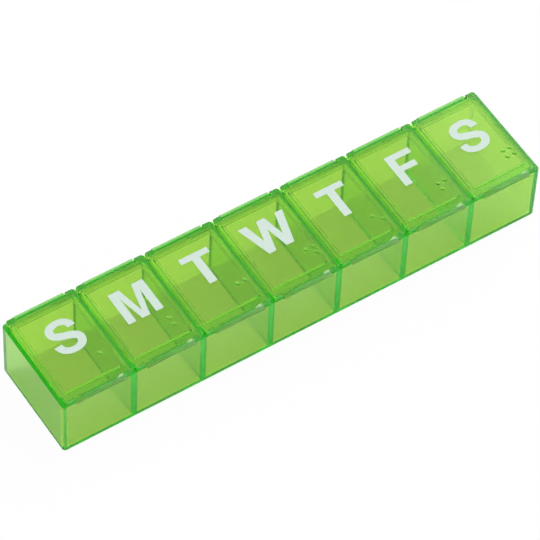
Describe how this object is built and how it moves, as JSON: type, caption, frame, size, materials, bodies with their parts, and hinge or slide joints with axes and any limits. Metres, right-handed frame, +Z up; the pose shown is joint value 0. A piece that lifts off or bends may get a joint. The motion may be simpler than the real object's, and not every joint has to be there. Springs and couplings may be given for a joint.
{
  "type": "weekly pill organizer",
  "caption": "Long translucent green pill box: a row of day compartments, each with a plug lid on a film hinge, a thumb lip and raised touch dots.",
  "frame": {"origin": "centre of the tray's underside, on the surface it stands on", "axes": "+X along the row from Sunday to Saturday, -Y the front with the thumb lips, +Y the hinged rear, +Z up"},
  "size_m": [0.168, 0.0363, 0.0253],
  "materials": {
    "green_plastic": "translucent, glossy, moulded",
    "white_ink": "satin printed ink"
  },
  "bodies": {
    "tray": {"tray": "green_plastic"},
    "lid_sunday": {"lid_sunday": "green_plastic", "hinge_sunday": "green_plastic"},
    "lid_monday": {"lid_monday": "green_plastic", "hinge_monday": "green_plastic"},
    "lid_tuesday": {"lid_tuesday": "green_plastic", "hinge_tuesday": "green_plastic"},
    "lid_wednesday": {"lid_wednesday": "green_plastic", "hinge_wednesday": "green_plastic"},
    "lid_thursday": {"lid_thursday": "green_plastic", "hinge_thursday": "green_plastic"},
    "lid_friday": {"lid_friday": "green_plastic", "hinge_friday": "green_plastic"},
    "lid_saturday": {"lid_saturday": "green_plastic", "hinge_saturday": "green_plastic"}
  },
  "joints": [
    {"name": "hinge_sunday", "type": "hinge", "parent": "tray", "child": "lid_sunday", "pos_m": [-0.0714, 0.0179, 0.0231], "axis": [-1, 0, 0], "range_deg": [0, 175], "deforming": ["hinge_sunday"]},
    {"name": "hinge_monday", "type": "hinge", "parent": "tray", "child": "lid_monday", "pos_m": [-0.0476, 0.0179, 0.0231], "axis": [-1, 0, 0], "range_deg": [0, 175], "deforming": ["hinge_monday"]},
    {"name": "hinge_tuesday", "type": "hinge", "parent": "tray", "child": "lid_tuesday", "pos_m": [-0.0238, 0.0179, 0.0231], "axis": [-1, 0, 0], "range_deg": [0, 175], "deforming": ["hinge_tuesday"]},
    {"name": "hinge_wednesday", "type": "hinge", "parent": "tray", "child": "lid_wednesday", "pos_m": [0, 0.0179, 0.0231], "axis": [-1, 0, 0], "range_deg": [0, 175], "deforming": ["hinge_wednesday"]},
    {"name": "hinge_thursday", "type": "hinge", "parent": "tray", "child": "lid_thursday", "pos_m": [0.0238, 0.0179, 0.0231], "axis": [-1, 0, 0], "range_deg": [0, 175], "deforming": ["hinge_thursday"]},
    {"name": "hinge_friday", "type": "hinge", "parent": "tray", "child": "lid_friday", "pos_m": [0.0476, 0.0179, 0.0231], "axis": [-1, 0, 0], "range_deg": [0, 175], "deforming": ["hinge_friday"]},
    {"name": "hinge_saturday", "type": "hinge", "parent": "tray", "child": "lid_saturday", "pos_m": [0.0714, 0.0179, 0.0231], "axis": [-1, 0, 0], "range_deg": [0, 175], "deforming": ["hinge_saturday"]}
  ]
}
